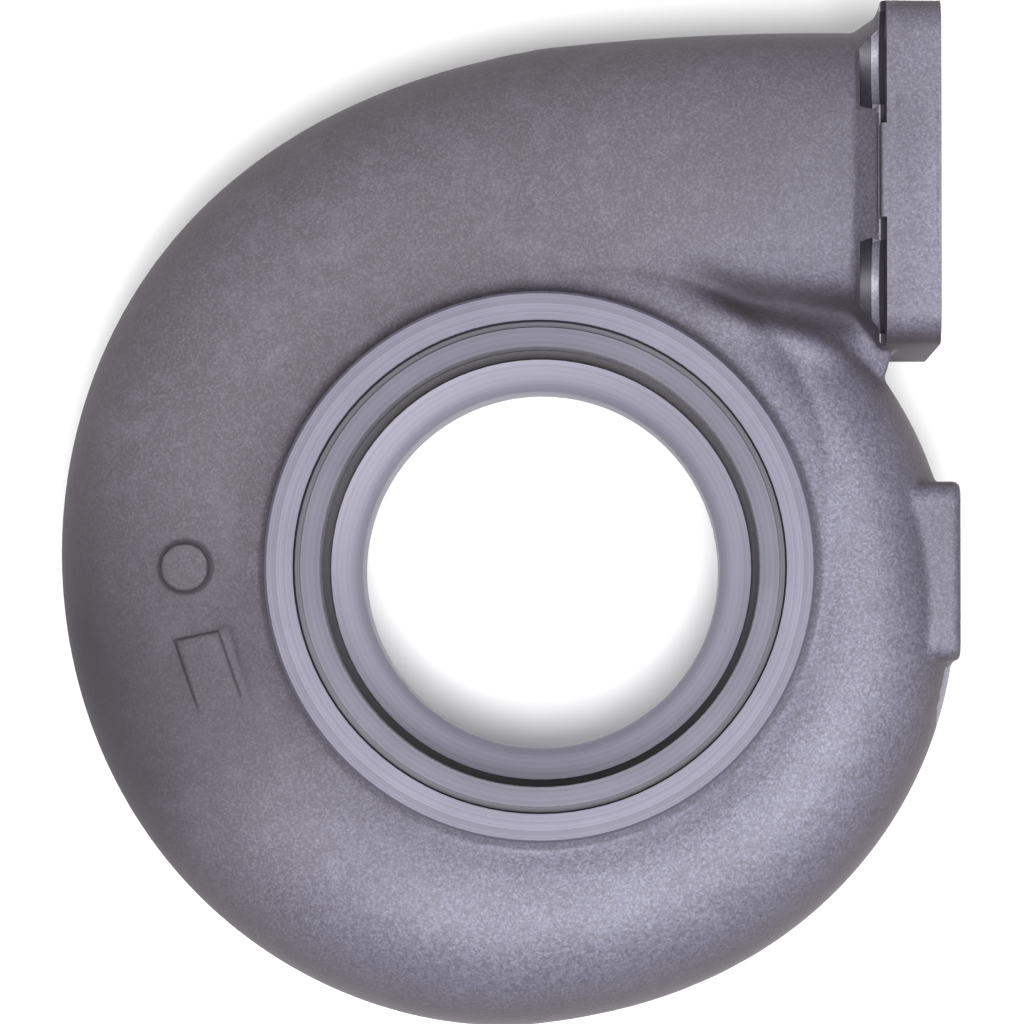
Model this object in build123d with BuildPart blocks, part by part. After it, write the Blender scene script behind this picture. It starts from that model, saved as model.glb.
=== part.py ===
"""Turbine housing of a large turbocharger, one grey iron casting.

Sizes are in millimetres. The origin is the centre of the outlet face, +Z runs up the
turbine axis to the bearing housing and +X looks out of the exhaust inlet flange.
"""

import os
from dataclasses import dataclass
from math import sqrt, tan, radians

from build123d import *

# Nozzle slit, from which the bearing end and the scroll take their heights
slit_floor_height = 106.0
slit_width = 18.0
bearing_end_length = 26.0
throat_plate_thickness = 6.0

# Bearing end: the clamp rim, its register and the bore above the nozzle slit
rim_radius = 91.0
rim_thickness = 4.2
rim_back_angle = 20.0
clamp_groove_depth = 6.0
clamp_groove_height = 7.0
rim_edge_chamfer = 0.8
register_radius = 81.5
register_depth = 3.2
relief_width = 2.4
relief_depth = 2.8
relief_start = 0.2
relief_taper = 0.5
bearing_bore_radius = 72.8

# Wheel contour and outlet
shroud_lip_radius = 70.5
exducer_radius = 60.0
contour_height = 8.5
contour_pull = (5.0, 2.2)
lip_groove_width = 3.5
lip_groove_depth = 8.0
exducer_length = 35.5
outlet_radius = 66.0
outlet_land = 8.0
outlet_rim_radius = 79.0
outlet_rim_thickness = 4.5
tube_wall = 7.5
tube_root_height = 13.0

# Scroll: reach of its outside from the axis at each twelfth of a turn, inlet first
scroll_reach = [177.0, 169.4, 166.2, 162.1, 160.2, 157.7, 152.5, 147.8, 144.2, 138.5, 131.6, 125.5, 120.0]
scroll_start_angle = 90.0
tube_radius = 50.0
tube_loss_per_turn = 0.8
tube_taper_power = 0.6
crest_rise = 4.5
tongue_crest_drop = 25.0
tongue_drop_start = 240.0
casting_wall = 7.0
scroll_foot_radius = 76.0
throat_edge_radius = 86.0
collar_radius = 103.0
collar_foot_radius = 111.0
collar_foot_rise = 13.0

# Studs of the inlet flange, from which it takes its size
stud_spacing_width = 76.0
stud_spacing_length = 115.0
stud_margin_width = 19.0
stud_margin_length = 12.5
stud_hole_radius = 6.6

# Inlet neck and its flange
flange_face_distance = 132.5
flange_thickness = 20.0
flange_centre_offset = 130.8
flange_centre_height = 82.0
flange_corner_radius = 12.0
flange_cast_round = 1.2
port_width = 62.0
port_length = 90.0
port_corner_radius = 19.0
neck_width = 98.5
neck_length = 100.0
neck_centre_offset = 132.2
neck_squareness = 0.8
neck_middle_squareness = 0.75
root_length = 8.0
root_growth = 7.5
root_squareness = 0.9

# Web under the flange: corners in its own plane, which falls from the scroll to the flange
web_corners = [(81.0, 90.0), (120.5, 90.0), (122.8, 74.0), (120.2, 65.0), (111.3, 61.5), (87.4, 72.0)]
web_rise = 10.0
web_tilt = 16.0
web_depth = 38.0

# Room that the cutter makes for the stud nuts, and the land that it leaves
spotface_radius = 15.5
spotface_depth = 2.0
spotface_reach = 4.2
nut_pocket_radius = 17.0
nut_pocket_reach = 8.2
land_width = 31.0

# Pads and bosses cast on the scroll
side_pad_face_distance = 140.0
side_pad_width = 60.0
side_pad_length = 52.0
side_pad_centre_height = 100.0
side_pad_centre_offset = -1.0
side_pad_corner_radius = 6.0
side_pad_depth = 32.0
side_pad_round = 2.5
round_boss_radius = 8.0
round_boss_rise = 2.5
round_boss_place = (-118.0, 0.0)
plate_pad_width = 17.5
plate_pad_length = 26.0
plate_pad_rise = 0.6
plate_pad_place = (-108.2, -34.5)
plate_pad_turn = 16.0
plate_pad_tilt = 2.0
pad_root_depth = 6.0

CIRCLE_PULL = 4 * (sqrt(2) - 1) / 3

slit_top = slit_floor_height + slit_width
bearing_face_height = slit_top + bearing_end_length
throat_plate_height = slit_top + throat_plate_thickness
collar_foot_height = slit_floor_height + collar_foot_rise
crest_height = throat_plate_height + crest_rise
flange_width = stud_spacing_width + 2 * stud_margin_width
flange_length = stud_spacing_length + 2 * stud_margin_length


@dataclass
class Lobe:
    """One section of the scroll or neck: across is away from the axis, up is +Z.

    The curves meet with equal handles at the crest, side and sole, so that every section
    has its joints at the same shares of its outline and the lofts between them stay light.
    """

    foot: float
    foot_top: float
    foot_bottom: float
    crest_across: float
    crest_up: float
    reach: float
    sole_up: float
    pull: float
    shoulder: tuple[float, float]
    heel: tuple[float, float]

    def face(self, plane):
        """Draw the section on a plane and return its face."""
        middle = (self.crest_up + self.sole_up) / 2
        width = (self.reach - self.crest_across) * self.pull
        rise = (self.crest_up - middle) * self.pull
        top = (self.foot, self.foot_top)
        crest = (self.crest_across, self.crest_up)
        side = (self.reach, middle)
        sole = (self.crest_across, self.sole_up)
        bottom = (self.foot, self.foot_bottom)
        with BuildSketch(plane) as section:
            with BuildLine():
                Bezier(
                    top,
                    (top[0] + self.shoulder[0], top[1] + self.shoulder[1]),
                    (crest[0] - width, crest[1]),
                    crest,
                )
                Bezier(crest, (crest[0] + width, crest[1]), (side[0], side[1] + rise), side)
                Bezier(side, (side[0], side[1] - rise), (sole[0] + width, sole[1]), sole)
                Bezier(
                    sole,
                    (sole[0] - width, sole[1]),
                    (bottom[0] + self.heel[0], bottom[1] - self.heel[1]),
                    bottom,
                )
                Line(bottom, top)
            make_face()
        return section.sketch


def tube_radius_at(turn):
    """Return the outside radius of the scroll tube after so many degrees of turn."""
    return tube_radius * (1 - tube_loss_per_turn * turn / 360) ** tube_taper_power


def scroll_lobe(reach, turn, wall):
    """Return a scroll section, moved in by the wall: no wall gives the outside."""
    tube = tube_radius_at(turn) - wall
    crest_across = reach - wall - tube
    fade = max(0, turn - tongue_drop_start) / (360 - tongue_drop_start)
    crest_up = crest_height - tongue_crest_drop * fade**2 - wall
    sole_up = crest_up - 2 * tube
    foot = throat_edge_radius if wall else scroll_foot_radius
    gap = casting_wall if wall == 0 else 0
    foot_top = slit_top + 0.5 if wall else throat_plate_height
    foot_bottom = slit_floor_height - 0.5 - gap
    drop = foot_bottom - sole_up
    return Lobe(
        foot=foot,
        foot_top=foot_top,
        foot_bottom=foot_bottom,
        crest_across=crest_across,
        crest_up=crest_up,
        reach=reach - wall,
        sole_up=sole_up,
        pull=CIRCLE_PULL,
        shoulder=((crest_across - foot) * 0.5, 0),
        heel=((crest_across - foot) * 0.2, drop * 0.4),
    )


def neck_lobe(width, length, centre, squareness):
    """Return a rounded rectangle drawn with the same edges as a scroll section."""
    foot = centre - width / 2
    half = length / 2
    stem = half * 0.3
    top = flange_centre_height + half
    curve = (half - stem) * squareness
    return Lobe(
        foot=foot,
        foot_top=flange_centre_height + stem,
        foot_bottom=flange_centre_height - stem,
        crest_across=centre,
        crest_up=top,
        reach=centre + width / 2,
        sole_up=flange_centre_height - half,
        pull=squareness,
        shoulder=(0, curve),
        heel=(0, curve),
    )


def section_plane(angle):
    """Return the plane through the axis at an angle, across outwards and up along +Z."""
    outward = Vector(1, 0, 0).rotate(Axis.Z, angle)
    return Plane(origin=(0, 0, 0), x_dir=outward, z_dir=outward.cross(Vector(0, 0, 1)))


def neck_plane(distance):
    """Return the neck's plane at a distance along +X, across along +Y."""
    return Plane(origin=(distance, 0, 0), x_dir=(0, 1, 0), z_dir=(1, 0, 0))


def neck_faces(wall):
    """Return the sections from the inside of the flange to the start of the scroll."""
    start = scroll_lobe(scroll_reach[0], 0, wall)
    if wall:
        size = port_width, port_length, flange_centre_offset
    else:
        size = neck_width, neck_length, neck_centre_offset
    neck_end = flange_face_distance - flange_thickness / 2
    return [
        neck_lobe(*size, neck_squareness).face(neck_plane(neck_end)),
        neck_lobe(*size, neck_middle_squareness).face(neck_plane(neck_end / 2)),
        start.face(neck_plane(0)),
    ]


def scroll_faces(wall, first, last):
    """Return the scroll's sections from one numbered station to another."""
    faces = []
    for station in range(first, last + 1):
        turn = station * 360 / (len(scroll_reach) - 1)
        lobe = scroll_lobe(scroll_reach[station], turn, wall)
        faces.append(lobe.face(section_plane(scroll_start_angle + turn)))
    return faces


def scroll_lofts(wall, mode):
    """Add the neck and the two halves of the scroll, or cut them out."""
    last = len(scroll_reach) - 1
    loft(sections=neck_faces(wall), mode=mode)
    loft(sections=scroll_faces(wall, 0, last // 2), mode=mode)
    loft(sections=scroll_faces(wall, last // 2, last), mode=mode)


stud_places = [
    (flange_centre_offset + side * stud_spacing_width / 2, flange_centre_height + end * stud_spacing_length / 2)
    for side in (-1, 1)
    for end in (-1, 1)
]
flange_back = flange_face_distance - flange_thickness
rim_slope = clamp_groove_depth * tan(radians(rim_back_angle))
contour_foot = slit_floor_height - contour_height
exducer_foot = contour_foot - exducer_length

with BuildPart() as turbine_housing:
    # Inlet flange, its cast edges rounded before anything joins them
    with BuildSketch(neck_plane(flange_back)):
        with Locations((flange_centre_offset, flange_centre_height)):
            RectangleRounded(flange_width, flange_length, flange_corner_radius)
    extrude(amount=flange_thickness)
    fillet(turbine_housing.faces().sort_by(Axis.X)[0].edges(), radius=flange_cast_round)

    # Side pad, its face and edges as cast
    with BuildSketch(neck_plane(side_pad_face_distance)):
        with Locations((side_pad_centre_offset, side_pad_centre_height)):
            RectangleRounded(side_pad_width, side_pad_length, side_pad_corner_radius)
    extrude(amount=-side_pad_depth)
    fillet(turbine_housing.faces().sort_by(Axis.X)[-1].edges(), radius=side_pad_round)

    # Outside of the neck and scroll, and the root that the neck grows into the flange
    scroll_lofts(0, Mode.ADD)
    root_start = neck_lobe(neck_width, neck_length, neck_centre_offset, neck_squareness)
    root_end = neck_lobe(
        flange_width - 1, neck_length + 2 * root_growth, flange_centre_offset, root_squareness
    )
    loft(
        sections=[
            root_start.face(neck_plane(flange_back - root_length)),
            root_end.face(neck_plane(flange_back + flange_cast_round)),
        ]
    )

    # Web that fills the corner between the flange and the small end of the scroll
    web_along = Vector(1, 0, 0).rotate(Axis.Y, web_tilt)
    web_up = Vector(0, 0, 1).rotate(Axis.Y, web_tilt)
    with BuildSketch(Plane((0, 0, crest_height + web_rise), x_dir=web_along, z_dir=web_up)):
        with BuildLine():
            Polyline(web_corners, close=True)
        make_face()
    extrude(amount=web_depth, dir=(0, 0, -1))

    # Hub: clamp rim, collar, throat plates and outlet tube in one turned shape
    with BuildSketch(Plane.XZ):
        with BuildLine():
            groove_radius = rim_radius - clamp_groove_depth
            rim_under = bearing_face_height - rim_thickness
            groove_top = rim_under - rim_slope
            groove_foot = groove_top - clamp_groove_height
            collar_middle = (groove_radius + collar_radius) / 2
            collar_top = throat_plate_height + 2
            tube_radius_out = outlet_radius + tube_wall
            Polyline(
                (exducer_radius - 5, bearing_face_height),
                (rim_radius - rim_edge_chamfer, bearing_face_height),
                (rim_radius, bearing_face_height - rim_edge_chamfer),
                (rim_radius, rim_under),
                (groove_radius, groove_top),
                (groove_radius, groove_foot),
                (groove_radius + 2, groove_foot - 2.5),
                (collar_middle, collar_top),
            )
            Bezier(
                (collar_middle, collar_top),
                (collar_radius, collar_top - 1),
                (collar_foot_radius, (collar_top + collar_foot_height) / 2 + 1),
                (collar_foot_radius, collar_foot_height),
            )
            Polyline(
                (collar_foot_radius, collar_foot_height),
                (collar_foot_radius, slit_floor_height),
                (scroll_foot_radius + 3, slit_floor_height - casting_wall),
                (tube_radius_out, slit_floor_height - casting_wall - tube_root_height),
                (tube_radius_out, outlet_rim_thickness + rim_slope),
                (outlet_rim_radius, outlet_rim_thickness),
                (outlet_rim_radius, rim_edge_chamfer),
                (outlet_rim_radius - rim_edge_chamfer, 0),
                (exducer_radius - 5, 0),
                (exducer_radius - 5, bearing_face_height),
            )
        make_face()
    revolve(axis=Axis.Z)

    # Round boss and plate pad, cast on the front of the scroll
    with BuildSketch(Plane.XY.offset(crest_height + round_boss_rise)):
        with Locations(round_boss_place):
            Circle(round_boss_radius)
    extrude(amount=-pad_root_depth)
    plate_along = Vector(0, 1, 0).rotate(Axis.Z, plate_pad_turn)
    plate_across = plate_along.cross(Vector(0, 0, 1))
    plate_up = Vector(0, 0, 1).rotate(Axis((0, 0, 0), plate_across), plate_pad_tilt)
    plate_middle = (*plate_pad_place, crest_height + plate_pad_rise)
    with BuildSketch(Plane(plate_middle, x_dir=plate_across, z_dir=plate_up)):
        Rectangle(plate_pad_width, plate_pad_length)
    extrude(amount=-pad_root_depth)

    # Scroll passage, port mouth and nozzle slit
    scroll_lofts(casting_wall, Mode.SUBTRACT)
    with BuildSketch(neck_plane(flange_face_distance)):
        with Locations((flange_centre_offset, flange_centre_height)):
            RectangleRounded(port_width, port_length, port_corner_radius)
    extrude(amount=-flange_thickness / 2, mode=Mode.SUBTRACT)

    # Turned inside: register, bore, slit, wheel contour and outlet diffuser
    with BuildSketch(Plane.XZ):
        with BuildLine():
            register_floor = bearing_face_height - register_depth
            relief_radius = register_radius - relief_width
            Polyline(
                (0, bearing_face_height),
                (register_radius, bearing_face_height),
                (register_radius, register_floor + relief_start),
                (register_radius - relief_taper, register_floor - relief_depth),
                (relief_radius, register_floor - relief_depth),
                (relief_radius, register_floor),
                (bearing_bore_radius, register_floor),
                (bearing_bore_radius, slit_top),
                (throat_edge_radius + 1, slit_top),
                (throat_edge_radius + 1, slit_floor_height),
                (shroud_lip_radius + lip_groove_width, slit_floor_height),
                (shroud_lip_radius + lip_groove_width, slit_floor_height - lip_groove_depth),
                (shroud_lip_radius, slit_floor_height - lip_groove_depth),
                (shroud_lip_radius, slit_floor_height),
            )
            Bezier(
                (shroud_lip_radius, slit_floor_height),
                (shroud_lip_radius - contour_pull[0], slit_floor_height - contour_pull[1]),
                (exducer_radius, contour_foot + contour_height / 2),
                (exducer_radius, contour_foot),
            )
            Polyline(
                (exducer_radius, contour_foot),
                (exducer_radius, exducer_foot),
                (outlet_radius, outlet_land),
                (outlet_radius, 0),
                (0, 0),
                (0, bearing_face_height),
            )
        make_face()
    revolve(axis=Axis.Z, mode=Mode.SUBTRACT)

    # Flange back milled lower on both sides of its cast land
    step_width = (flange_width - land_width) / 2
    step_length = flange_length / 2 - neck_length / 2 - root_growth
    with BuildSketch(neck_plane(flange_back)):
        with Locations(
            [
                (
                    flange_centre_offset + side * (land_width + step_width) / 2,
                    flange_centre_height + end * (flange_length - step_length) / 2,
                )
                for side in (-1, 1)
                for end in (-1, 1)
            ]
        ):
            Rectangle(step_width, step_length)
    extrude(amount=spotface_depth, mode=Mode.SUBTRACT)

    # Stud holes, spotfaces and nut pockets
    with BuildSketch(neck_plane(flange_face_distance)):
        with Locations(stud_places):
            Circle(stud_hole_radius)
    extrude(amount=-flange_thickness, mode=Mode.SUBTRACT)
    with BuildSketch(neck_plane(flange_back + spotface_depth)):
        with Locations(stud_places):
            Circle(spotface_radius)
    extrude(amount=-spotface_reach, mode=Mode.SUBTRACT)
    with BuildSketch(neck_plane(flange_back + spotface_depth - spotface_reach)):
        with Locations(stud_places):
            Circle(nut_pocket_radius)
    extrude(amount=spotface_reach - nut_pocket_reach, mode=Mode.SUBTRACT)

turbine_housing.part.label = "turbine_housing"
os.makedirs("parts", exist_ok=True)
export_step(turbine_housing.part, "parts/turbine_housing.step")
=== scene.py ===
"""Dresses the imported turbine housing: foundry skin, turned and milled faces, studio and camera.

The housing is made the way a machine shop makes it. A rough casting comes first, with the
fillets that sand leaves in every inside corner, and then the machined faces are set into it.
Lengths are in metres, and the origin is the centre of the outlet face.
"""

import logging
import math
from dataclasses import dataclass
from enum import Enum

import bmesh
import bpy
import numpy as np
from mathutils import Matrix, Vector

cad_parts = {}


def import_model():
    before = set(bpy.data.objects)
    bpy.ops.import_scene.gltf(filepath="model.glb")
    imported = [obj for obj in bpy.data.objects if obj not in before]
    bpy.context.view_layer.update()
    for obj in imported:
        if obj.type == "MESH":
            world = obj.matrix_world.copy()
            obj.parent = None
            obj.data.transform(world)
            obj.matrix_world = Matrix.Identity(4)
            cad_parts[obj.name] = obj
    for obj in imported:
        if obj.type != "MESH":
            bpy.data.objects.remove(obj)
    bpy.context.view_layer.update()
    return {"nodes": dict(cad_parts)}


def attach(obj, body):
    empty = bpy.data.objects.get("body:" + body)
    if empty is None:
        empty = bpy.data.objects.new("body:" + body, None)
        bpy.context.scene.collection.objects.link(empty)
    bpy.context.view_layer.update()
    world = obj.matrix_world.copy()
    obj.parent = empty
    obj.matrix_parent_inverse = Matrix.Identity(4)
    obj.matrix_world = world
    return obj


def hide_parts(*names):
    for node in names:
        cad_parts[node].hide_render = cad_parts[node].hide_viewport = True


LOG = logging.getLogger("turbine_housing")
NODE = "turbine_housing"
HOLLOW_SHADE = "hollow_shade"
MM = 0.001


class Surface(Enum):
    """The finishes of the housing, in the order of its material slots."""

    CAST = 0
    RIM = 1
    SEAT = 2
    SHROUD = 3
    RECESS_SHADE = 4
    SLIT_SHADE = 5
    MILLED = 6


# Shader maths


class Signal:
    """A socket of a material's nodes, with the operators of a number."""

    def __init__(self, sheet: "NodeSheet", socket: bpy.types.NodeSocket) -> None:
        """Wrap a socket.

        Args:
            sheet: The sheet whose tree holds the socket.
            socket: The output socket.
        """
        self.sheet = sheet
        self.socket = socket

    def _math(self, operation: str, *values: "Signal | float") -> "Signal":
        """Add a Math node for an operation on these values."""
        return self.sheet.node("ShaderNodeMath", {"operation": operation}, dict(enumerate(values)))

    def __add__(self, other: "Signal | float") -> "Signal":
        """Return the sum."""
        return self._math("ADD", self, other)

    def __radd__(self, other: float) -> "Signal":
        """Return the sum, with a number on the left."""
        return self._math("ADD", other, self)

    def __sub__(self, other: "Signal | float") -> "Signal":
        """Return the difference."""
        return self._math("SUBTRACT", self, other)

    def __rsub__(self, other: float) -> "Signal":
        """Return the difference, with a number on the left."""
        return self._math("SUBTRACT", other, self)

    def __mul__(self, other: "Signal | float") -> "Signal":
        """Return the product."""
        return self._math("MULTIPLY", self, other)

    def size(self) -> "Signal":
        """Return the value without its sign."""
        return self._math("ABSOLUTE", self)

    def most(self, other: "Signal | float") -> "Signal":
        """Return the larger of two values."""
        return self._math("MAXIMUM", self, other)

    def ramp(self, low: float, high: float) -> "Signal":
        """Return a smooth step from 0 at the low value to 1 at the high one.

        Args:
            low: Value where the step starts.
            high: Value where it is complete. It may be below the low one, for a falling step.

        Returns:
            The step.
        """
        settings = {"interpolation_type": "SMOOTHSTEP"}
        return self.sheet.node("ShaderNodeMapRange", settings, {0: self, 1: low, 2: high})


class NodeSheet:
    """The node tree of one material."""

    def __init__(self, name: str) -> None:
        """Start a material with an empty tree.

        Args:
            name: The material's name.
        """
        self.material = bpy.data.materials.new(name)
        self.material.use_nodes = True
        self.tree = self.material.node_tree
        self.tree.nodes.clear()

    def node(self, kind: str, settings: dict, inputs: dict, output: int | str = 0) -> Signal:
        """Add a node.

        Args:
            kind: The node's type.
            settings: Properties to set before the inputs.
            inputs: Values or signals by the input's name or number.
            output: The output to return.

        Returns:
            The signal of that output.
        """
        made = self.tree.nodes.new(kind)
        for key, value in settings.items():
            setattr(made, key, value)
        for key, value in inputs.items():
            if isinstance(value, Signal):
                self.tree.links.new(value.socket, made.inputs[key])
            else:
                made.inputs[key].default_value = value
        return Signal(self, made.outputs[output])

    def place(self) -> Signal:
        """Return the object coordinates, in metres."""
        return self.node("ShaderNodeTexCoord", {}, {}, "Object")

    def axis(self, vector: Signal, name: str) -> Signal:
        """Return one part of a vector.

        Args:
            vector: The vector.
            name: X, Y or Z.

        Returns:
            The part.
        """
        return self.node("ShaderNodeSeparateXYZ", {}, {0: vector}, name)

    def scaled(self, place: Signal, scale: tuple) -> Signal:
        """Stretch a place along the axes.

        Args:
            place: The coordinates.
            scale: Factor of each axis.

        Returns:
            The stretched coordinates.
        """
        return self.node("ShaderNodeVectorMath", {"operation": "MULTIPLY"}, {0: place, 1: scale})

    def measure(self, place: Signal, operation: str, other: tuple) -> Signal:
        """Return a number worked out from a place and a vector.

        Args:
            place: The coordinates.
            operation: DISTANCE from the vector or DOT_PRODUCT with it.
            other: The vector.

        Returns:
            The number.
        """
        return self.node("ShaderNodeVectorMath", {"operation": operation}, {0: place, 1: other}, "Value")

    def noise(self, place: Signal, size: float, detail: float = 2.0, seed: float = 0.0) -> Signal:
        """Add a noise texture.

        Args:
            place: The coordinates it is read at.
            size: Size of its lumps in metres.
            detail: Octaves of finer noise.
            seed: Shift that makes two noises of one size differ.

        Returns:
            The noise, from 0 to 1.
        """
        inputs = {"Vector": place, "W": seed, "Scale": 1.0 / size, "Detail": detail}
        return self.node("ShaderNodeTexNoise", {"noise_dimensions": "4D"}, inputs, "Fac")

    def mix(self, share: Signal | float, first: Signal | tuple, second: Signal | tuple) -> Signal:
        """Mix two colours.

        Args:
            share: Share of the second colour.
            first: Colour at share 0.
            second: Colour at share 1.

        Returns:
            The mixed colour.
        """
        return self.node("ShaderNodeMix", {"data_type": "RGBA"}, {0: share, 6: first, 7: second}, 2)

    def bump(self, height: Signal, distance: float, strength: float) -> Signal:
        """Add a Bump node.

        Args:
            height: Height of the relief, from 0 to about 1.
            distance: Rise of the relief in metres at height 1.
            strength: Share of the relief that shows.

        Returns:
            The bent normal.
        """
        inputs = {"Strength": strength, "Distance": distance, "Height": height}
        return self.node("ShaderNodeBump", {}, inputs)

    def finish(
        self, colour: Signal, roughness: Signal, metallic: Signal | float, normal: Signal
    ) -> bpy.types.Material:
        """Close the tree with its shader.

        Args:
            colour: Base colour.
            roughness: Roughness.
            metallic: Metallic share.
            normal: Normal of a Bump node.

        Returns:
            The material.
        """
        inputs = {"Base Color": colour, "Roughness": roughness, "Metallic": metallic, "Normal": normal}
        shader = self.node("ShaderNodeBsdfPrincipled", {}, inputs)
        self.node_output(shader)
        return self.material

    def node_output(self, shader: Signal) -> None:
        """Link a shader to the material's output.

        Args:
            shader: The shader.
        """
        out = self.tree.nodes.new("ShaderNodeOutputMaterial")
        self.tree.links.new(shader.socket, out.inputs["Surface"])


# Finishes


@dataclass(frozen=True)
class ShadePatch:
    """A soft dark patch of painted shade about a point of the casting."""

    centre: tuple
    radius: float
    share: float
    core: float = 0.15

    def signal(self, sheet: NodeSheet, place: Signal) -> Signal:
        """Return the patch as a share of painted shade.

        Args:
            sheet: The sheet of the material.
            place: The object coordinates.

        Returns:
            The share, which is even inside the core and fades to the radius.
        """
        away = sheet.measure(place, "DISTANCE", self.centre)
        return away.ramp(self.radius, self.core * self.radius) * self.share


@dataclass(frozen=True)
class CastPads:
    """The painted shade lines at the feet of the round boss and the plate pad on the front of the
    scroll.
    """

    boss_centre: tuple = (-117.7 * MM, 0.3 * MM, 0.0)
    boss_foot: float = 8.5 * MM
    boss_shade_line: tuple = (1.5 * MM, 0.4 * MM)
    plate_centre: tuple = (-109.9 * MM, -34.7 * MM)
    plate_half: tuple = (7.3 * MM, 12.6 * MM)
    plate_shade_line: tuple = (1.0 * MM, 0.2 * MM)
    plate_step: tuple = (0.6 * MM, -0.3 * MM)
    plate_fade: tuple = (-14 * MM, -7 * MM)
    side_turn: float = math.radians(19)
    end_turn: float = math.radians(12)
    front: tuple = (80 * MM, 90 * MM)

    def plate_edge(self, sheet: NodeSheet, place: Signal) -> tuple[Signal, Signal]:
        """Measure a place against the plate pad.

        Args:
            sheet: The sheet of the material.
            place: The object coordinates.

        Returns:
            How far the place lies outside the pad, and how far along the pad it lies.
        """
        side, end = self.side_turn, self.end_turn
        middle_x, middle_y = self.plate_centre
        half_width, half_length = self.plate_half
        across = sheet.measure(place, "DOT_PRODUCT", (math.cos(side), math.sin(side), 0.0))
        along = sheet.measure(place, "DOT_PRODUCT", (-math.sin(end), math.cos(end), 0.0))
        across = across - (middle_x * math.cos(side) + middle_y * math.sin(side))
        along = along - (middle_y * math.cos(end) - middle_x * math.sin(end))
        return (across.size() - half_width).most(along - half_length), along

    def signals(self, sheet: NodeSheet, place: Signal) -> tuple[Signal, Signal]:
        """Return the painted shade in the foot lines and the rise of the plate pad.

        Args:
            sheet: The sheet of the material.
            place: The object coordinates.

        Returns:
            The share of painted shade and the share of the rise.
        """
        front = sheet.axis(place, "Z").ramp(*self.front)
        outside, along = self.plate_edge(sheet, place)
        fade = along.ramp(*self.plate_fade)
        from_boss = sheet.measure(sheet.scaled(place, (1.0, 1.0, 0.0)), "DISTANCE", self.boss_centre)
        boss_shade_line = (from_boss - self.boss_foot).size().ramp(*self.boss_shade_line)
        plate_shade_line = outside.size().ramp(*self.plate_shade_line) * fade
        return plate_shade_line.most(boss_shade_line) * front, outside.ramp(*self.plate_step) * fade * front


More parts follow.
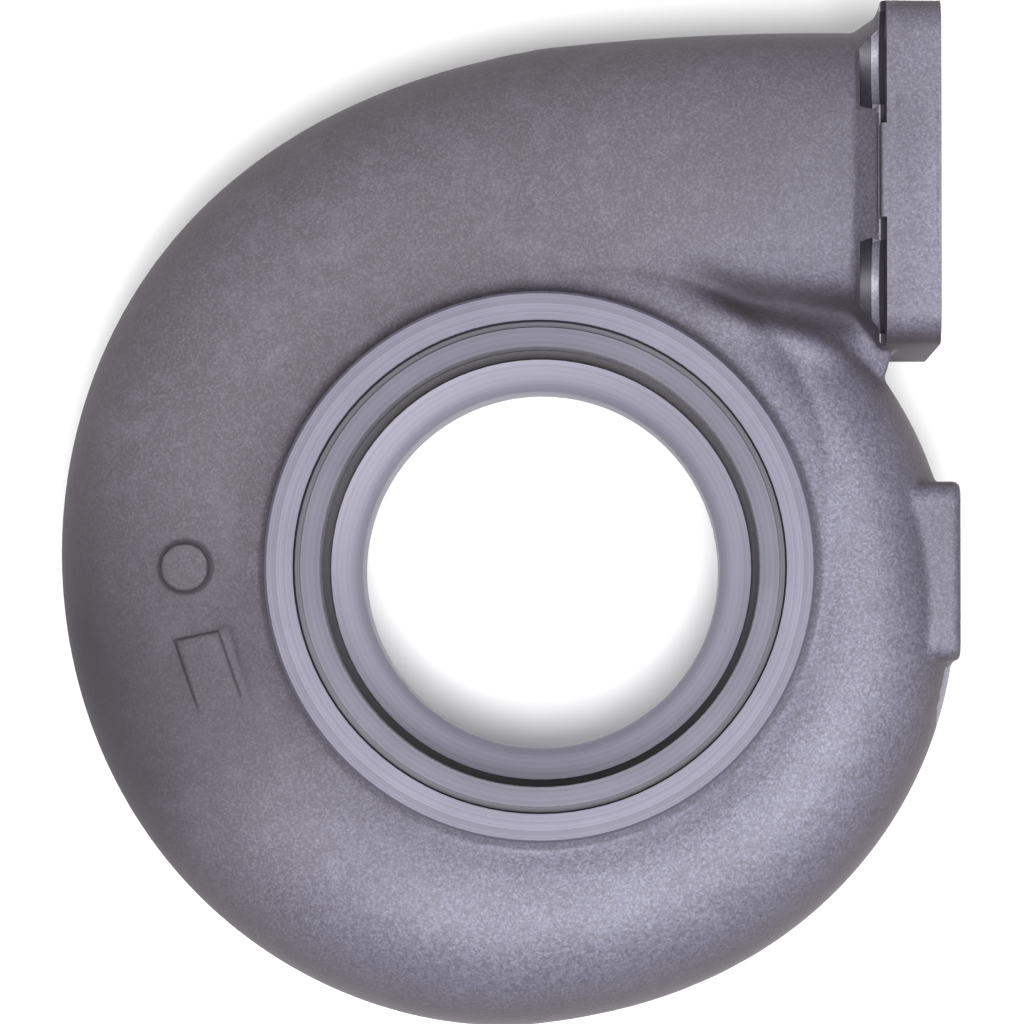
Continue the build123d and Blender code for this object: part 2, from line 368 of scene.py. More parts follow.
@dataclass(frozen=True)
class SandCastSkin:
    """Skin of a sand casting: purple-grey, with a fine sparkling grain, painted lighter on one side and
    with painted shade on its sides and in its hollows.

    Shares that come as a pair hold the share on the painted shaded side and what is added on the painted
    lit side.
    """

    # Colour of the painted lit side, then of the painted shaded side: lit and shaded copies of one skin.
    lit_side_colour: tuple = (0.106, 0.102, 0.143, 1.0)
    shaded_side_colour: tuple = (0.066, 0.057, 0.070, 1.0)
    worn: tuple = (0.25, 0.247, 0.31, 1.0)
    # Colour of the dark scale in the skin's blotches and grain, also used for the painted shade on its
    # sides.
    scale: tuple = (0.052, 0.040, 0.047, 1.0)
    # Colour of all painted shade: in hollows, under the clamp rim, at the feet of the pads and in the
    # dark patches.
    painted_shade: tuple = (0.026, 0.022, 0.030, 1.0)
    metallic: tuple = (0.05, 0.23)
    grain_size: float = 1.3 * MM
    fleck_size: float = 0.75 * MM
    cloud_size: float = 38.0 * MM
    patch_size: float = 9.5 * MM
    bump_height: float = 0.28 * MM
    # Direction toward which the skin is painted lighter, and where along it the painted light fades in.
    lit_direction: tuple = (0.83, -0.58, 0.0)
    lit_range: tuple = (-0.06, 0.10)
    cloud_share: float = 0.16
    patch_share: float = 0.09
    fleck_share: tuple = (0.16, 0.20)
    grain_share: tuple = (0.22, 0.20)
    side_shade_share: tuple = (0.42, 0.36)
    hollow_shade_share: float = 0.84
    foot_shade_share: float = 0.80
    pads: CastPads = CastPads()
    # Painted shade on the scroll's left and lower parts, its top by the neck, the side pad and the
    # flange's lower end.
    shade_patches: tuple = (
        ShadePatch((-146 * MM, -36 * MM, 85 * MM), 98 * MM, 0.95),
        ShadePatch((-98 * MM, -50 * MM, 125 * MM), 48 * MM, 0.16),
        ShadePatch((-92 * MM, -138 * MM, 55 * MM), 56 * MM, 0.60),
        ShadePatch((92 * MM, -148 * MM, 55 * MM), 56 * MM, 0.60),
        ShadePatch((92 * MM, 140 * MM, 130 * MM), 70 * MM, 0.32),
        ShadePatch((136 * MM, 2 * MM, 118 * MM), 52 * MM, 0.34),
        ShadePatch((122 * MM, 70 * MM, 150 * MM), 50 * MM, 0.30),
    )

    def material(self) -> bpy.types.Material:
        """Return the finish as a material."""
        sheet = NodeSheet("sand_cast_iron")
        place = sheet.place()
        foot, plate_rise = self.pads.signals(sheet, place)
        cloud = sheet.noise(place, self.cloud_size, 3.0, 1.0)
        patch = sheet.noise(place, self.patch_size, 3.0, 2.0)
        grain = sheet.noise(place, self.grain_size, 2.0, 3.0)
        fleck = sheet.noise(place, self.fleck_size, 1.0, 4.0)
        upward = sheet.axis(sheet.node("ShaderNodeNewGeometry", {}, {}, "Normal"), "Z")
        hollow_shade = sheet.node("ShaderNodeAttribute", {"attribute_name": HOLLOW_SHADE}, {}, "Fac")
        # Painted light: the skin turns lighter toward +X and -Y and darker the other way, and that side
        # is also glossier.
        lit_side = sheet.measure(place, "DOT_PRODUCT", self.lit_direction) + cloud * 0.06
        lit_side = lit_side.ramp(*self.lit_range)

        def share(pair: tuple) -> Signal:
            """Return a share that grows on the painted lit side."""
            return pair[0] + lit_side * pair[1]

        colour = sheet.mix(lit_side, self.shaded_side_colour, self.lit_side_colour)
        colour = sheet.mix(cloud.ramp(0.45, 0.70) * self.cloud_share, colour, self.scale)
        colour = sheet.mix(patch.ramp(0.45, 0.75) * self.patch_share, colour, self.worn)
        colour = sheet.mix(fleck.ramp(0.40, 0.70) * share(self.fleck_share), colour, self.worn)
        colour = sheet.mix(grain.ramp(0.58, 0.32) * share(self.grain_share), colour, self.scale)
        # Painted shade: faces that turn away from straight up are painted darker.
        colour = sheet.mix(upward.ramp(0.94, 0.40) * share(self.side_shade_share), colour, self.scale)
        # Soft dark patches of painted shade.
        patch_shade = sum(shade_patch.signal(sheet, place) for shade_patch in self.shade_patches)
        colour = sheet.mix(patch_shade * (0.7 + cloud * 0.6), colour, self.painted_shade)
        # Painted shade in the hollows, along the neck's valley and under the clamp rim.
        colour = sheet.mix(hollow_shade * self.hollow_shade_share, colour, self.painted_shade)
        # Painted shade lines at the feet of the boss and the plate pad.
        colour = sheet.mix(foot * self.foot_shade_share, colour, self.painted_shade)
        roughness = 0.72 - lit_side * 0.22 + cloud * 0.10 + grain * 0.10 + hollow_shade * 0.25
        metallic = self.metallic[0] + lit_side * (1 - hollow_shade) * self.metallic[1]
        height = grain * 0.65 + fleck * 0.35 + patch * 0.6 + plate_rise * 1.6
        return sheet.finish(colour, roughness, metallic, sheet.bump(height, self.bump_height, 1.0))


@dataclass(frozen=True)
class TurnedIron:
    """Iron turned on a lathe: pale blue-grey, with fine marks round the axis."""

    name: str
    bright: tuple
    dull: tuple
    metallic: float = 0.30
    mark_pitch: float = 0.55 * MM
    band_pitch: float = 2.6 * MM
    speck_size: float = 0.8 * MM
    wander_size: float = 22.0 * MM
    bump_height: float = 0.012 * MM

    def material(self) -> bpy.types.Material:
        """Return the finish as a material."""
        sheet = NodeSheet(self.name)
        place = sheet.place()
        flat = sheet.scaled(place, (1.0, 1.0, 0.0))
        radius = sheet.node("ShaderNodeVectorMath", {"operation": "LENGTH"}, {0: flat}, "Value")
        section = {0: radius, 1: sheet.axis(place, "Z"), 2: 0.0}
        across = sheet.node("ShaderNodeCombineXYZ", {}, section)
        wander = sheet.noise(place, self.wander_size, 2.0, 5.0)
        marks = sheet.noise(across, self.mark_pitch, 2.0, 6.0)
        bands = sheet.noise(across, self.band_pitch, 1.0, 7.0)
        speck = sheet.noise(place, self.speck_size, 1.0, 8.0)
        share = marks.ramp(0.35, 0.70) * 0.45 + bands.ramp(0.35, 0.65) * 0.35 + wander * 0.20
        colour = sheet.mix(share, self.bright, self.dull)
        colour = sheet.mix(speck.ramp(0.60, 0.75) * 0.35, colour, self.dull)
        roughness = 0.46 + marks * 0.10 + wander * 0.06
        normal = sheet.bump(marks * 0.7 + bands * 0.8, self.bump_height, 0.8)
        return sheet.finish(colour, roughness, self.metallic, normal)


@dataclass(frozen=True)
class MilledIron:
    """Iron faced with a milling cutter: pale grey, with straight feed marks and painted shade in a
    notch.
    """

    bright: tuple = (0.20, 0.195, 0.24, 1.0)
    dull: tuple = (0.12, 0.113, 0.14, 1.0)
    shade: tuple = (0.020, 0.017, 0.023, 1.0)
    notch: tuple = (112.8 * MM, 114.9 * MM)
    notch_edge: float = 0.2 * MM
    notch_share: float = 0.95
    metallic: float = 0.30
    stretch: float = 14.0
    mark_pitch: float = 0.8 * MM
    patch_size: float = 9.0 * MM
    bump_height: float = 0.02 * MM

    def material(self) -> bpy.types.Material:
        """Return the finish as a material."""
        sheet = NodeSheet("milled_iron")
        place = sheet.place()
        along = sheet.scaled(place, (1.0, 1.0, 1.0 / self.stretch))
        marks = sheet.noise(along, self.mark_pitch, 2.0, 9.0)
        patch = sheet.noise(place, self.patch_size, 2.0, 10.0)
        share = marks.ramp(0.35, 0.68) * 0.65 + patch * 0.3
        colour = sheet.mix(share, self.bright, self.dull)
        (start, end), edge = self.notch, self.notch_edge
        reach = sheet.axis(place, "X")
        notched = reach.ramp(start - edge, start + edge) * reach.ramp(end + edge, end)
        # Painted shade in the notch on the flange's back.
        colour = sheet.mix(notched * self.notch_share, colour, self.shade)
        roughness = 0.46 + marks * 0.14 + notched * 0.50
        return sheet.finish(colour, roughness, self.metallic, sheet.bump(marks, self.bump_height, 0.8))


# Mesh work


def link(name: str, mesh: bpy.types.Mesh) -> bpy.types.Object:
    """Add a mesh to the scene as an object at the origin.

    Args:
        name: The object's name.
        mesh: Its mesh.

    Returns:
        The object.
    """
    made = bpy.data.objects.new(name, mesh)
    bpy.context.scene.collection.objects.link(made)
    return made


def evaluated(made: bpy.types.Object) -> bpy.types.Mesh:
    """Work an object's modifiers into its mesh, and remove the object.

    Args:
        made: The object.

    Returns:
        The changed mesh.
    """
    graph = bpy.context.evaluated_depsgraph_get()
    mesh = bpy.data.meshes.new_from_object(made.evaluated_get(graph))
    bpy.data.objects.remove(made)
    return mesh


def boolean(first: bpy.types.Mesh, second: bpy.types.Mesh, operation: str) -> bpy.types.Mesh:
    """Combine two closed meshes.

    Args:
        first: The mesh that is changed.
        second: The mesh that is added, taken away or kept in common.
        operation: UNION, DIFFERENCE or INTERSECT.

    Returns:
        The combined mesh.
    """
    blank, tool = link("blank", first), link("tool", second)
    cut = blank.modifiers.new("cut", "BOOLEAN")
    cut.operation = operation
    cut.solver = "MANIFOLD"
    cut.object = tool
    mesh = evaluated(blank)
    bpy.data.objects.remove(tool)
    return mesh


def turned_shape(profile: list[tuple[float, float]], steps: int) -> bpy.types.Mesh:
    """Turn a closed outline of radius and height round the axis.

    Args:
        profile: Corners, from the axis at the foot to the axis at the top.
        steps: Faces round the axis.

    Returns:
        The closed mesh, its faces outwards.
    """
    work = bmesh.new()
    corners = [work.verts.new((radius, 0.0, height)) for radius, height in profile]
    edges = [work.edges.new(pair) for pair in zip(corners, corners[1:])]
    turn = {"axis": (0, 0, 1), "cent": (0, 0, 0), "angle": math.tau, "steps": steps, "use_merge": True}
    bmesh.ops.spin(work, geom=corners + edges, **turn)
    bmesh.ops.remove_doubles(work, verts=work.verts, dist=1e-6)
    bmesh.ops.recalc_face_normals(work, faces=work.faces)
    mesh = bpy.data.meshes.new("turned_shape")
    work.to_mesh(mesh)
    work.free()
    return mesh


def block(low: tuple, high: tuple) -> bpy.types.Mesh:
    """Make a closed block.

    Args:
        low: Its corner with the least coordinates.
        high: Its corner with the greatest coordinates.

    Returns:
        The closed mesh.
    """
    work = bmesh.new()
    size = [b - a for a, b in zip(low, high)]
    middle = Vector([(a + b) / 2 for a, b in zip(low, high)])
    place = Matrix.Translation(middle) @ Matrix.Diagonal((*size, 1.0))
    bmesh.ops.create_cube(work, size=1.0, matrix=place)
    mesh = bpy.data.meshes.new("block")
    work.to_mesh(mesh)
    work.free()
    return mesh


def array_of(items: bpy.types.bpy_prop_collection, key: str, width: int, kind: type) -> np.ndarray:
    """Read one property of every vertex, edge or face.

    Args:
        items: The vertices, edges or faces.
        key: Name of the property.
        width: Numbers that each item holds.
        kind: Type of the numbers.

    Returns:
        The values, one row for each item.
    """
    flat = np.empty(len(items) * width, kind)
    items.foreach_get(key, flat)
    return flat.reshape(-1, width) if width > 1 else flat


def neighbour_mean(points: np.ndarray, ends: np.ndarray) -> np.ndarray:
    """Return the mean place of each vertex's neighbours along the edges.

    Args:
        points: Places of the vertices as rows.
        ends: The two vertices of each edge as rows.

    Returns:
        The mean places as rows.
    """
    first, second = ends[:, 0], ends[:, 1]
    count = len(points)
    degree = np.bincount(ends.ravel(), minlength=count)[:, None]
    sums = [
        np.bincount(first, points[second, axis], count) + np.bincount(second, points[first, axis], count)
        for axis in range(3)
    ]
    return np.stack(sums, axis=1) / degree


@dataclass
class FoundrySkin:
    """Turns exact solids into a sand casting: small steps smoothed, inside corners filled."""

    voxel: float
    fillet_radius: float
    fillet_rounds: int
    smooth_rounds: int = 2
    smooth_share: float = 0.5
    fillet_share: float = 0.6

    def rough(self, mesh: bpy.types.Mesh) -> bpy.types.Mesh:
        """Return the mesh rebuilt on an even grid.

        Args:
            mesh: A closed mesh. It isn't changed.

        Returns:
            The rebuilt mesh.
        """
        made = link("rough_casting", mesh.copy())
        grid = made.modifiers.new("grid", "REMESH")
        grid.mode = "VOXEL"
        grid.voxel_size = self.voxel
        return evaluated(made)

    def fill(self, mesh: bpy.types.Mesh) -> bpy.types.Mesh:
        """Fill the inside corners until none is tighter than the fillet.

        Args:
            mesh: A mesh with an even grid, which is changed.

        Returns:
            The same mesh.
        """
        points = array_of(mesh.vertices, "co", 3, np.float32).astype(float)
        normals = array_of(mesh.vertices, "normal", 3, np.float32)
        ends = array_of(mesh.edges, "vertices", 2, np.int32)
        least_bend = self.voxel / (4 * self.fillet_radius)
        for number in range(self.smooth_rounds + self.fillet_rounds):
            pull = neighbour_mean(points, ends) - points
            if number < self.smooth_rounds:
                points += self.smooth_share * pull
                continue
            bend = np.einsum("ij,ij->i", pull, normals) / self.voxel
            share = np.clip(bend / least_bend - 1.0, 0.0, 1.0)
            points += self.fillet_share * share[:, None] * pull
        mesh.vertices.foreach_set("co", points.astype(np.float32).ravel())
        mesh.update()
        return mesh

    def cast(self, mesh: bpy.types.Mesh) -> bpy.types.Mesh:
        """Return the casting of a closed mesh, which isn't changed."""
        return self.fill(self.rough(mesh))


@dataclass(frozen=True)
class Crease:
    """A soft valley pressed into the top of the casting along a path seen from above."""

    path: tuple
    depth: float
    half_width: float
    least_height: float
    soft_rounds: int
    soft_share: float = 0.5
    least_facing: float = -0.2
    fade_in: float = 4.0

    def nearness(self, points: np.ndarray, half_width: float) -> np.ndarray:
        """Return how near points are to the path, from 0 far off to 1 on it.

        Args:
            points: Places as rows.
            half_width: Distance from the path at which little is left.

        Returns:
            The nearness of each, which also fades towards the start of the path.
        """
        nearness = np.zeros(len(points))
        stretches = list(zip(self.path, self.path[1:]))
        for number, (start, end) in enumerate(stretches):
            along = np.subtract(end, start)
            share = (points[:, :2] - start) @ along / (along @ along)
            foot = np.array(start) + np.clip(share, 0, 1)[:, None] * along
            away = np.linalg.norm(points[:, :2] - foot, axis=1)
            run = (number + np.clip(share, 0, 1)) / len(stretches)
            fade = np.clip(self.fade_in * run, 0, 1)
            nearness = np.maximum(nearness, fade * np.exp(-((away / half_width) ** 2)))
        return nearness

    def press(self, mesh: bpy.types.Mesh) -> bpy.types.Mesh:
        """Press the valley into a mesh.

        Args:
            mesh: The mesh, which is changed.

        Returns:
            The same mesh.
        """
        points = array_of(mesh.vertices, "co", 3, np.float32).astype(float)
        normals = array_of(mesh.vertices, "normal", 3, np.float32)
        outside = (points[:, 2] > self.least_height) & (normals[:, 2] > self.least_facing)
        share = outside * self.nearness(points, self.half_width)
        points[:, 2] -= self.depth * share
        around = outside * self.nearness(points, 2 * self.half_width)
        ends = array_of(mesh.edges, "vertices", 2, np.int32)
        for _ in range(self.soft_rounds):
            points += self.soft_share * around[:, None] * (neighbour_mean(points, ends) - points)
        mesh.vertices.foreach_set("co", points.astype(np.float32).ravel())
        mesh.update()
        return mesh


def mark_hollow_shade(
    mesh: bpy.types.Mesh, radius: float, rounds: int, least: np.ndarray, most: np.ndarray
) -> None:
    """Store how hollow the surface is, as the share of painted shade in its hollows.

    Args:
        mesh: The mesh that gets the attribute.
        radius: Radius of an inside corner that counts as quite hollow.
        rounds: Rounds of spreading along the surface.
        least: Least value of each vertex.
        most: Greatest value of each vertex.
    """
    points = array_of(mesh.vertices, "co", 3, np.float32).astype(float)
    normals = array_of(mesh.vertices, "normal", 3, np.float32).astype(float)
    ends = array_of(mesh.edges, "vertices", 2, np.int32)
    first, second = ends[:, 0], ends[:, 1]
    count = len(points)
    step = points[second] - points[first]
    length = np.linalg.norm(step, axis=1) + 1e-9
    rise = np.einsum("ij,ij->i", step, normals[first]) / length
    fall = np.einsum("ij,ij->i", -step, normals[second]) / length
    weight = np.bincount(first, length, count) + np.bincount(second, length, count) + 1e-12
    bend = 2 * (np.bincount(first, rise, count) + np.bincount(second, fall, count)) / weight
    hollow_shade = np.clip(bend * radius, 0.0, 1.5)
    for _ in range(rounds):
        spread = np.bincount(first, hollow_shade[second] * length, count)
        spread = spread + np.bincount(second, hollow_shade[first] * length, count)
        hollow_shade = 0.5 * hollow_shade + 0.5 * spread / weight
    attribute = mesh.attributes.new(HOLLOW_SHADE, "FLOAT", "POINT")
    attribute.data.foreach_set("value", np.clip(hollow_shade, least, most).astype(np.float32))


class StudPattern:
    """Cylinders on the four stud axes, made by Geometry Nodes."""

    SIDES = 64

    def __init__(self, spacing: tuple[float, float], radius: float, reach: float) -> None:
        """Keep the pattern's sizes.

        Args:
            spacing: Distance between the studs along Y and along Z.
            radius: Radius of each cylinder.
            reach: Length of each cylinder along X.
        """
        self.sizes = {
            "Spacing Y": spacing[0],
            "Spacing Z": spacing[1],
            "Radius": radius,
            "Length": reach,
        }

    def tree(self) -> bpy.types.GeometryNodeTree:
        """Return the node tree: a grid of four points with a cylinder on each."""
        tree = bpy.data.node_groups.new("stud_pattern", "GeometryNodeTree")
        for name in self.sizes:
            tree.interface.new_socket(name, in_out="INPUT", socket_type="NodeSocketFloat")
        tree.interface.new_socket("Geometry", in_out="OUTPUT", socket_type="NodeSocketGeometry")
        nodes, links = tree.nodes, tree.links
        given = nodes.new("NodeGroupInput")
        grid = nodes.new("GeometryNodeMeshGrid")
        grid.inputs["Vertices X"].default_value = 2
        grid.inputs["Vertices Y"].default_value = 2
        stud = nodes.new("GeometryNodeMeshCylinder")
        stud.inputs["Vertices"].default_value = self.SIDES
        place = nodes.new("GeometryNodeInstanceOnPoints")
        real = nodes.new("GeometryNodeRealizeInstances")
        dress = nodes.new("GeometryNodeSetMaterial")
        result = nodes.new("NodeGroupOutput")
        links.new(given.outputs["Spacing Z"], grid.inputs["Size X"])
        links.new(given.outputs["Spacing Y"], grid.inputs["Size Y"])
        links.new(given.outputs["Radius"], stud.inputs["Radius"])
        links.new(given.outputs["Length"], stud.inputs["Depth"])
        links.new(grid.outputs["Mesh"], place.inputs["Points"])
        links.new(stud.outputs["Mesh"], place.inputs["Instance"])
        links.new(place.outputs["Instances"], real.inputs["Geometry"])
        links.new(real.outputs["Geometry"], dress.inputs["Geometry"])
        links.new(dress.outputs["Geometry"], result.inputs["Geometry"])
        return tree

    def mesh(self, centre: tuple[float, float, float]) -> bpy.types.Mesh:
        """Return the four cylinders, which lie along X.

        Args:
            centre: Middle of the pattern.

        Returns:
            The mesh of the cylinders.
        """
        made = link("stud_pattern", bpy.data.meshes.new("stud_pattern"))
        pattern = made.modifiers.new("pattern", "NODES")
        pattern.node_group = self.tree()
        for item in pattern.node_group.interface.items_tree:
            if item.in_out == "INPUT":
                pattern[item.identifier] = self.sizes[item.name]
        mesh = evaluated(made)
        mesh.transform(Matrix.Translation(centre) @ Matrix.Rotation(math.radians(90), 4, "Y"))
        return mesh


# The casting


@dataclass
class TurbineHousing:
    """The one casting of the housing, with its foundry fillets and machined faces.

    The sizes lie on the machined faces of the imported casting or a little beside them, so that they
    part its faces from each other. A margin is the distance by which an envelope reaches past the
    machined faces that it holds.
    """

    skin_voxel: float = 0.9 * MM
    skin_fillet: float = 5.0 * MM
    fillet_rounds: int = 60
    crease_rounds: int = 20
    triangle_limit: int = 165_000
    merge_distance: float = 2e-6
    crease_angle: float = math.radians(30)
    envelope_steps: int = 256
    hollow_radius: float = 4.0 * MM
    hollow_rounds: int = 7
    # Share of painted shade under the clamp rim.
    under_rim_shade: float = 0.4

    rim_radius: float = 91.0 * MM
    rim_foot: float = 135.6 * MM
    rim_margin: float = 2.0 * MM
    collar_top: float = 131.2 * MM
    under_rim: tuple = (93.6 * MM, 130.6 * MM)
    bearing_face: float = 150.0 * MM
    past_end: float = 5.0 * MM
    outlet_rim_radius: float = 79.0 * MM
    outlet_rim_height: float = 6.6 * MM
    outlet_margin: float = 0.6 * MM
    outlet_tube_radius: float = 70.0 * MM
    shroud_foot: tuple = (68.0 * MM, 92.0 * MM)
    register_radius: float = 81.5 * MM
    relief_radius: float = 79.05 * MM
    relief_top: float = 146.7 * MM
    lip_radius: float = 70.5 * MM
    lip_groove_foot: tuple = (75.0 * MM, 96.5 * MM)
    slit_shade_foot: float = 97.5 * MM
    slit_reach: float = 87.4 * MM
    slit_floor: float = 104.0 * MM
    slit_top: float = 124.0 * MM
    slit_margin: float = 1.0 * MM
    face_margin: float = 1.1 * MM

    flange_face: float = 132.5 * MM
    flange_back: float = 110.0 * MM
    flange_centre: tuple = (130.8 * MM, 82.0 * MM)
    flange_sides: tuple = (60.0 * MM, 200.0 * MM)
    flange_top: float = 160.0 * MM
    past_face: float = 4.0 * MM
    step_start: float = 110.4 * MM
    step_end: float = 117.5 * MM
    step_floor: float = 138.7 * MM
    step_notch: tuple = (112.2 * MM, 114.6 * MM)
    step_half_width: float = 26.0 * MM
    step_foot: float = 130.0 * MM
    stud_spacing: tuple = (76.0 * MM, 115.0 * MM)
    stud_hole_radius: float = 7.0 * MM
    stud_middle: float = 122.0 * MM
    stud_reach: float = 34.0 * MM
    spotface_radius: float = 15.5 * MM
    spotface_plane: float = 114.5 * MM
    spotface_foot: float = 110.5 * MM
    spotface_margin: float = 2.6 * MM
    pocket_margin: float = 1.7 * MM
    pocket_end: float = 106.2 * MM
    tolerance: float = 0.1 * MM

    def casting_mesh(self, node: bpy.types.Object) -> bpy.types.Mesh:
        """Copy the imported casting's triangles and merge them, without their stored normals.

        Args:
            node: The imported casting. It isn't changed.

        Returns:
            The closed mesh.
        """
        work = bmesh.new()
        work.from_mesh(node.data)
        bmesh.ops.remove_doubles(work, verts=work.verts, dist=self.merge_distance)
        work.verts.index_update()
        points = [vertex.co[:] for vertex in work.verts]
        faces = [[vertex.index for vertex in face.verts] for face in work.faces]
        work.free()
        mesh = bpy.data.meshes.new("exact_casting")
        mesh.from_pydata(points, [], faces)
        return mesh

    def hub_envelope(self) -> bpy.types.Mesh:
        """Return the shape that holds every face turned about the axis."""
        outlet_radius = self.outlet_rim_radius + self.rim_margin
        outlet_top = self.outlet_rim_height + self.outlet_margin
        slit_radius = self.slit_reach + self.face_margin
        slit_foot = self.slit_floor - self.slit_margin
        rim_radius = self.rim_radius + self.rim_margin
        top = self.bearing_face + self.past_end
        profile = [
            (0.0, -self.past_end),
            (outlet_radius, -self.past_end),
            (outlet_radius, outlet_top),
            (self.outlet_tube_radius, outlet_top),
            self.shroud_foot,
            self.lip_groove_foot,
            (self.lip_groove_foot[0], slit_foot),
            (slit_radius, slit_foot),
            (slit_radius, self.collar_top),
            (rim_radius, self.collar_top),
            (rim_radius, top),
            (0.0, top),
        ]
        return turned_shape(profile, self.envelope_steps)

    def face_envelope(self) -> bpy.types.Mesh:
        """Return the shape that holds the milled inlet face."""
        low = (self.flange_face - self.face_margin, self.flange_sides[0], 0.0)
        return block(low, (self.flange_face + self.past_face, self.flange_sides[1], self.flange_top))

    def back_envelope(self) -> bpy.types.Mesh:
        """Return the shape that holds the milled steps on the flange's back."""
        low = (self.step_start, self.flange_sides[0], self.step_floor)
        return block(low, (self.step_end, self.flange_sides[1], self.flange_top))

    def stud_envelope(self) -> bpy.types.Mesh:
        """Return the shape that holds the stud holes and their spotfaces."""
        radius = self.spotface_radius + self.spotface_margin
        pattern = StudPattern(self.stud_spacing, radius, self.stud_reach)
        return pattern.mesh((self.stud_middle, *self.flange_centre))

    def build(self, node: bpy.types.Object) -> bpy.types.Object:
        """Build the dressed casting.

        Args:
            node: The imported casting.

        Returns:
            The finished object.
        """
        exact = self.casting_mesh(node)
        rough = FoundrySkin(self.skin_voxel, self.skin_fillet, self.fillet_rounds).cast(exact)
        casting = self.thinned(self.neck_crease().press(self.neck_saddle().press(rough)))
        envelopes = (
            self.hub_envelope(),
            self.face_envelope(),
            self.back_envelope(),
            self.stud_envelope(),
        )
        for envelope in envelopes:
            machined = boolean(exact.copy(), envelope.copy(), "INTERSECT")
            casting = boolean(casting, envelope, "DIFFERENCE")
            casting = boolean(casting, machined, "UNION")
        self.dress(casting)
        return link("housing_casting", casting)

    def neck_crease(self) -> Crease:
        """Return the valley between the neck and the small end of the scroll."""
        path = ((0.046, 0.101), (0.064, 0.0912), (0.076, 0.0884), (0.092, 0.0862), (0.106, 0.0848))
        sizes = {"depth": 6.0 * MM, "half_width": 5.0 * MM, "least_height": 88.0 * MM}
        return Crease(path, soft_rounds=self.crease_rounds, **sizes)

    def neck_saddle(self) -> Crease:
        """Return the filled corner below that valley. Its depth is negative, so it is raised."""
        path = ((0.054, 0.0905), (0.061, 0.0865), (0.071, 0.0815), (0.084, 0.0780), (0.098, 0.0735))
        sizes = {"depth": -3.5 * MM, "half_width": 5.0 * MM, "least_height": 88.0 * MM}
        return Crease(path, soft_rounds=self.crease_rounds, **sizes)

    def thinned(self, mesh: bpy.types.Mesh) -> bpy.types.Mesh:
        """Thin the flat places of a mesh to the triangle limit.

        Args:
            mesh: The mesh, which is used up.

        Returns:
            The thinned mesh.
        """
        made = link("thinned", mesh)
        triangles = sum(len(face.vertices) - 2 for face in mesh.polygons)
        thin = made.modifiers.new("thin", "DECIMATE")
        thin.ratio = min(1.0, self.triangle_limit / triangles)
        thin.use_collapse_triangulate = True
        return evaluated(made)

    def dress(self, mesh: bpy.types.Mesh) -> None:
        """Give every face its finish and keep the machined edges crisp.

        Args:
            mesh: The finished casting, which is changed.
        """
        mesh.materials.clear()
        for finish in self.finishes():
            mesh.materials.append(finish.material())
        middle = array_of(mesh.polygons, "center", 3, np.float32)
        normal = array_of(mesh.polygons, "normal", 3, np.float32)
        mesh.polygons.foreach_set("material_index", self.surfaces(middle, normal).astype(np.int32))
        # Painted shade: how hollow each vertex is, held even under the clamp rim.
        mark_hollow_shade(mesh, self.hollow_radius, self.hollow_rounds, *self.shade_limits(mesh))
        mesh.shade_smooth()
        mesh.set_sharp_from_angle(angle=self.crease_angle)
        mesh.update()

    def shade_limits(self, mesh: bpy.types.Mesh) -> tuple[np.ndarray, np.ndarray]:
        """Return the least and the greatest hollowness of each vertex.

        Args:
            mesh: The finished casting.

        Returns:
            The least values, which are high in the neck's valley, and the greatest. Both are the
            same under the clamp rim, where the painted shade is even.
        """
        points = array_of(mesh.vertices, "co", 3, np.float32)
        crease = self.neck_crease()
        least = (points[:, 2] > crease.least_height) * crease.nearness(points, crease.half_width)
        reach, foot = self.under_rim
        under_rim = (np.hypot(points[:, 0], points[:, 1]) < reach) & (points[:, 2] > foot)
        least = np.where(under_rim, self.under_rim_shade, least)
        return least, np.where(under_rim, self.under_rim_shade, 1.0)

    def finishes(self) -> tuple:
        """Return the finishes in the order of the surfaces."""
        return (
            SandCastSkin(),
            TurnedIron("turned_rim", (0.096, 0.092, 0.128, 1), (0.059, 0.055, 0.079, 1)),
            # The seat's finish is a darker copy of the rim's: partly its own duller marks, partly
            # painted shade on the sunken seat.
            TurnedIron("turned_seat", (0.063, 0.060, 0.085, 1), (0.038, 0.036, 0.053, 1)),
            # The shroud's finish is painted far lighter than the rim's: painted light on the shroud down
            # in the bore.
            TurnedIron("turned_shroud", (0.250, 0.241, 0.304, 1), (0.190, 0.180, 0.228, 1)),
            # Dark finish of the relief groove and the stud pockets: painted shade.
            TurnedIron("recess_shade", (0.036, 0.034, 0.047, 1), (0.022, 0.020, 0.030, 1)),
            # Near-black finish of the slit: painted shade in the deep gap.
            TurnedIron("slit_shade", (0.014, 0.011, 0.018, 1), (0.009, 0.007, 0.012, 1)),
            MilledIron(),
        )

    def surfaces(self, middle: np.ndarray, normal: np.ndarray) -> np.ndarray:
        """Tell the finish of each face.

        Args:
            middle: Middle of each face.
            normal: Normal of each face.

        Returns:
            The number of its surface.
        """
        made = np.full(len(middle), Surface.CAST.value)
        self.tell_turned(made, np.hypot(middle[:, 0], middle[:, 1]), middle[:, 2])
        face = (middle[:, 0] > self.flange_face - self.tolerance) & (normal[:, 0] > 0.9)
        made[face] = Surface.MILLED.value
        for side in (-0.5, 0.5):
            for end in (-0.5, 0.5):
                self.tell_stud(made, middle, normal, (side, end))
        return made

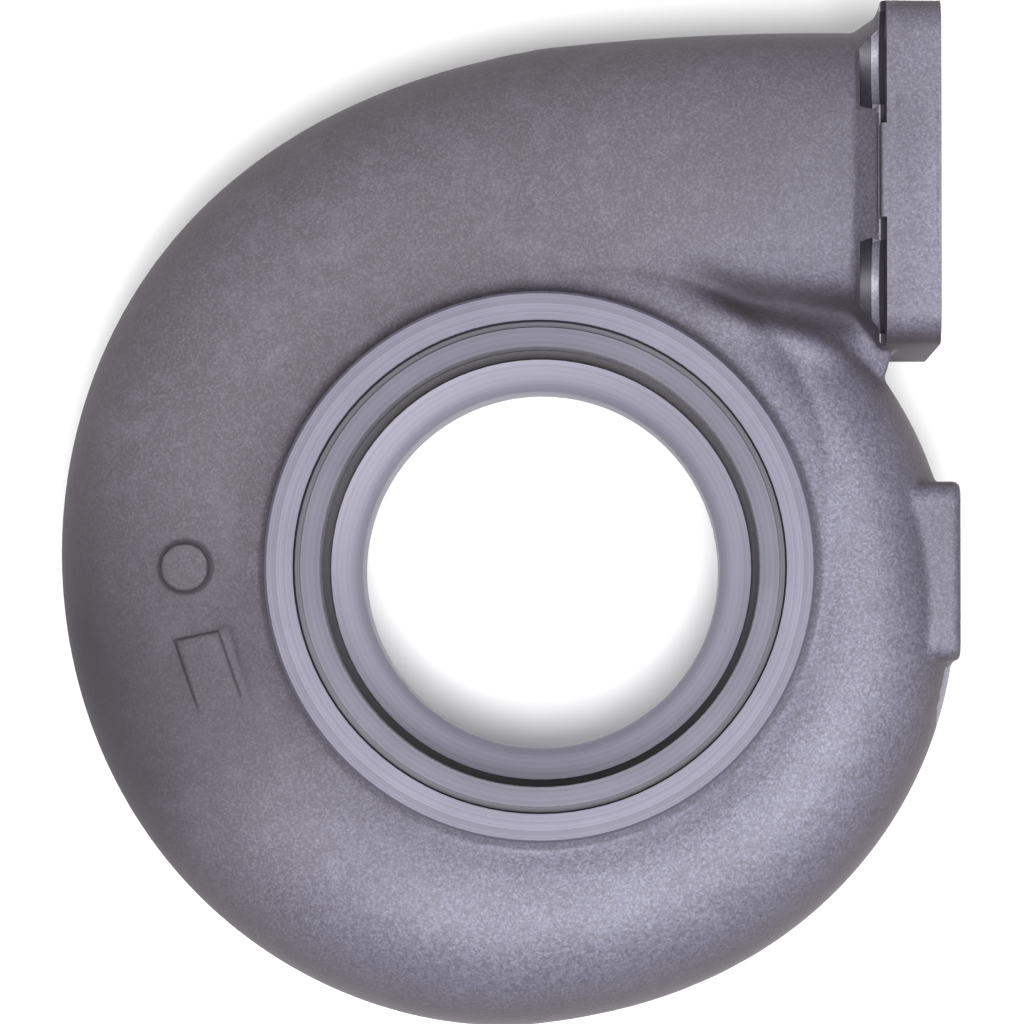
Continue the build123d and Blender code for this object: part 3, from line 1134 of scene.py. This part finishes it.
    def tell_turned(self, made: np.ndarray, radius: np.ndarray, height: np.ndarray) -> None:
        """Tell the faces that are turned about the axis.

        Args:
            made: The number of each face's surface, which is changed.
            radius: Distance of each face from the axis.
            height: Height of each face.
        """
        rim_tolerance = 3 * self.tolerance
        outlet = (radius < self.outlet_rim_radius + rim_tolerance) & (height < self.outlet_rim_height)
        clamp = (radius < self.rim_radius + rim_tolerance) & (height > self.rim_foot)
        register = radius < self.register_radius + self.tolerance
        shroud = (radius < self.lip_radius + self.tolerance) & (height > self.outlet_rim_height)
        slit = (radius > self.lip_radius + self.tolerance / 2) & (radius < self.slit_reach)
        slit_top = self.slit_top + self.tolerance
        relief = register & (radius > self.relief_radius) & (height > self.rim_foot)
        made[outlet | clamp] = Surface.RIM.value
        made[register & (height > self.slit_top)] = Surface.SEAT.value
        made[shroud] = Surface.SHROUD.value
        # The slit gets painted shade.
        made[slit & (height > self.slit_shade_foot) & (height < slit_top)] = Surface.SLIT_SHADE.value
        # The relief groove gets painted shade.
        made[relief & (height < self.relief_top)] = Surface.RECESS_SHADE.value

    def tell_stud(self, made: np.ndarray, middle: np.ndarray, normal: np.ndarray, stud: tuple) -> None:
        """Tell the faces that are cut round one stud.

        Args:
            made: The number of each face's surface, which is changed.
            middle: Middle of each face.
            normal: Normal of each face.
            stud: The stud's place in the pattern, as shares of the spacing along Y and Z.
        """
        reach, height = middle[:, 0], middle[:, 2]
        across = middle[:, 1] - self.flange_centre[0] - stud[0] * self.stud_spacing[0]
        up = height - self.flange_centre[1] - stud[1] * self.stud_spacing[1]
        away = np.hypot(across, up)
        cut = (away < self.spotface_radius + self.pocket_margin) & (reach > self.pocket_end)
        cut = cut & (reach < self.spotface_plane + self.tolerance)
        face = cut & ((reach > self.spotface_foot) | (normal[:, 0] < -0.9))
        hole = (away < self.stud_hole_radius) & (reach > self.flange_back)
        notch = (reach > self.step_notch[0]) & (reach < self.step_notch[1])
        step = notch & (np.abs(across) < self.step_half_width) & (height > self.step_foot)
        # The pocket walls round each spotface get painted shade; the milled faces are set after.
        made[cut] = Surface.RECESS_SHADE.value
        made[face | hole | step] = Surface.MILLED.value


# Studio


@dataclass(frozen=True)
class Softbox:
    """A square area light that faces a point of the housing."""

    name: str
    place: tuple
    size: float
    power: float
    aim: tuple = (0.0, 0.0, 0.1)

    def add(self) -> None:
        """Add the light to the scene."""
        lamp = bpy.data.lights.new(self.name, "AREA")
        lamp.shape = "SQUARE"
        lamp.size = self.size
        lamp.energy = self.power
        made = bpy.data.objects.new(self.name, lamp)
        made.location = self.place
        away = Vector(self.aim) - Vector(self.place)
        made.rotation_euler = away.to_track_quat("-Z", "Y").to_euler()
        bpy.context.scene.collection.objects.link(made)


@dataclass(frozen=True)
class Studio:
    """Pale floor, soft lights and the camera of the photograph."""

    floor_size: float = 12.0
    floor_colour: tuple = (0.87, 0.87, 0.87, 1.0)
    camera_place: tuple = (0.0255, -0.0492, 2.450)
    camera_aim: tuple = (-0.0091, 0.0180, 0.150)
    lens: float = 245.5
    sensor: float = 36.0
    far: float = 50.0
    sky: float = 0.06
    softboxes: tuple = (
        Softbox("key", (0.08, -0.50, 2.86), 0.8, 110.0),
        Softbox("side", (1.60, -1.00, 2.0), 1.0, 20.0),
        Softbox("back", (-1.20, 1.50, 2.2), 1.2, 20.0),
        Softbox("top", (0.05, -0.10, 3.3), 1.6, 58.0),
    )

    def add(self) -> None:
        """Add the floor, the lights and the camera."""
        self.add_floor()
        self.add_lights()
        self.add_camera()

    def add_floor(self) -> None:
        """Lay the floor under the housing."""
        half = self.floor_size / 2
        mesh = bpy.data.meshes.new("floor")
        corners = [(-half, -half, 0), (half, -half, 0), (half, half, 0), (-half, half, 0)]
        mesh.from_pydata(corners, [], [(0, 1, 2, 3)])
        floor = link("floor", mesh)
        sheet = NodeSheet("floor_paper")
        inputs = {"Base Color": self.floor_colour, "Roughness": 0.9}
        sheet.node_output(sheet.node("ShaderNodeBsdfPrincipled", {}, inputs))
        mesh.materials.append(sheet.material)

    def add_lights(self) -> None:
        """Hang the softboxes and set the sky."""
        for softbox in self.softboxes:
            softbox.add()
        world = bpy.data.worlds.new("studio")
        world.use_nodes = True
        back = world.node_tree.nodes["Background"]
        back.inputs["Color"].default_value = (1.0, 1.0, 1.0, 1.0)
        back.inputs["Strength"].default_value = self.sky
        bpy.context.scene.world = world
        bpy.context.scene.view_settings.view_transform = "Standard"

    def add_camera(self) -> None:
        """Set the camera over the housing, its top edge towards +Y."""
        lens = bpy.data.cameras.new("camera")
        lens.lens = self.lens
        lens.sensor_width = self.sensor
        lens.clip_end = self.far
        camera = bpy.data.objects.new("camera", lens)
        back = (Vector(self.camera_place) - Vector(self.camera_aim)).normalized()
        right = Vector((0.0, 1.0, 0.0)).cross(back).normalized()
        turn = Matrix((right, back.cross(right), back)).transposed()
        camera.matrix_world = Matrix.Translation(self.camera_place) @ turn.to_4x4()
        bpy.context.scene.collection.objects.link(camera)
        bpy.context.scene.camera = camera


def main() -> None:
    """Build the housing and the studio."""
    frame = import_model()
    casting = TurbineHousing().build(frame["nodes"][NODE])
    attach(casting, "root")
    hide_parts(NODE)
    LOG.info("%s has %d triangles", casting.name, len(casting.data.polygons))
    Studio().add()


if __name__ == "__main__":
    logging.basicConfig(level=logging.INFO)
    main()
